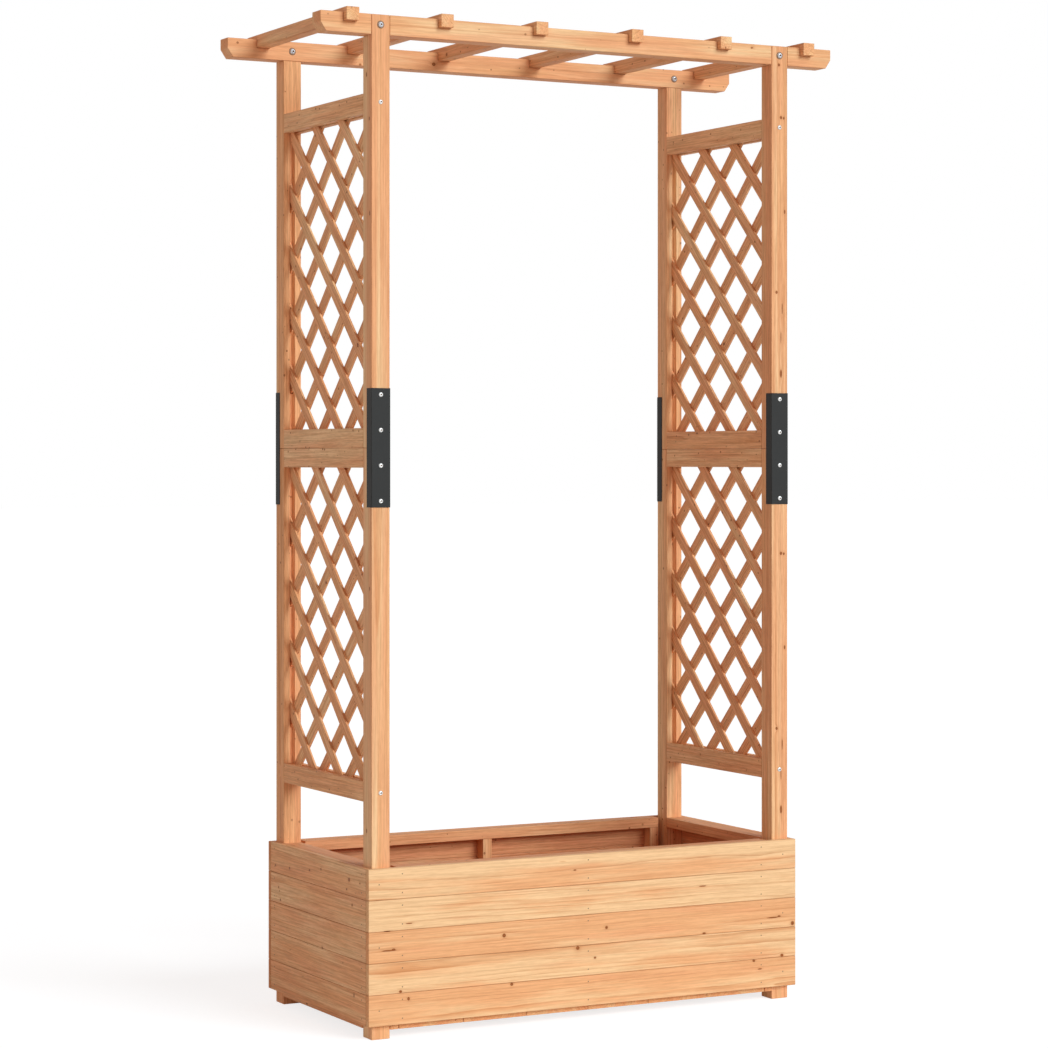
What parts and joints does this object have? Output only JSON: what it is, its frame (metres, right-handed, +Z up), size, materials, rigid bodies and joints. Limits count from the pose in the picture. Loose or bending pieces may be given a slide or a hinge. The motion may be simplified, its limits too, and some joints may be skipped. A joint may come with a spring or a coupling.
{
  "type": "planter with trellis",
  "caption": "Raised wooden planter trough with a lattice trellis at each end, joined overhead by notched beams and open rafters.",
  "frame": {"origin": "on the ground, under the middle of the frame of posts", "axes": "+Z up, +X along the trough to the right as seen from the front, -Y towards the front"},
  "size_m": [1.212, 0.4908, 2.0015],
  "materials": {
    "post_wood": "natural, clear coated, fine sawn",
    "board_wood": "natural, clear coated, planed",
    "rail_wood": "natural, clear coated, planed",
    "slat_wood": "natural, clear coated, planed",
    "roof_wood": "natural, clear coated, planed",
    "floor_wood": "natural, clear coated, sawn",
    "black_steel": "fine matt black powder coat"
  },
  "bodies": {
    "root": {"post_lower_front_left": "post_wood", "post_lower_front_right": "post_wood", "post_lower_back_left": "post_wood", "post_lower_back_right": "post_wood", "post_upper_front_left": "post_wood", "post_upper_front_right": "post_wood", "post_upper_back_left": "post_wood", "post_upper_back_right": "post_wood", "bracket_front_left": "black_steel", "bracket_front_right": "black_steel", "bracket_back_left": "black_steel", "bracket_back_right": "black_steel", "front_board_1": "board_wood", "front_board_2": "board_wood", "front_board_3": "board_wood", "front_board_4": "board_wood", "front_board_5": "board_wood", "back_board_1": "board_wood", "back_board_2": "board_wood", "back_board_3": "board_wood", "back_board_4": "board_wood", "back_board_5": "board_wood", "left_board_1": "board_wood", "left_board_2": "board_wood", "left_board_3": "board_wood", "left_board_4": "board_wood", "left_board_5": "board_wood", "right_board_1": "board_wood", "right_board_2": "board_wood", "right_board_3": "board_wood", "right_board_4": "board_wood", "right_board_5": "board_wood", "front_wall_battens": "rail_wood", "back_wall_battens": "rail_wood", "left_wall_batten": "rail_wood", "right_wall_batten": "rail_wood", "floor_deck": "floor_wood", "floor_end_left": "floor_wood", "floor_end_right": "floor_wood", "rail_bottom_left": "rail_wood", "rail_middle_lower_left": "rail_wood", "rail_middle_upper_left": "rail_wood", "rail_top_left": "rail_wood", "rail_bottom_right": "rail_wood", "rail_middle_lower_right": "rail_wood", "rail_middle_upper_right": "rail_wood", "rail_top_right": "rail_wood", "lattice_lower_left": "slat_wood", "lattice_upper_left": "slat_wood", "lattice_lower_right": "slat_wood", "lattice_upper_right": "slat_wood", "beam_front": "roof_wood", "beam_back": "roof_wood", "rafter_1": "roof_wood", "rafter_2": "roof_wood", "rafter_3": "roof_wood", "rafter_4": "roof_wood", "rafter_5": "roof_wood", "rafter_6": "roof_wood"}
  },
  "joints": []
}
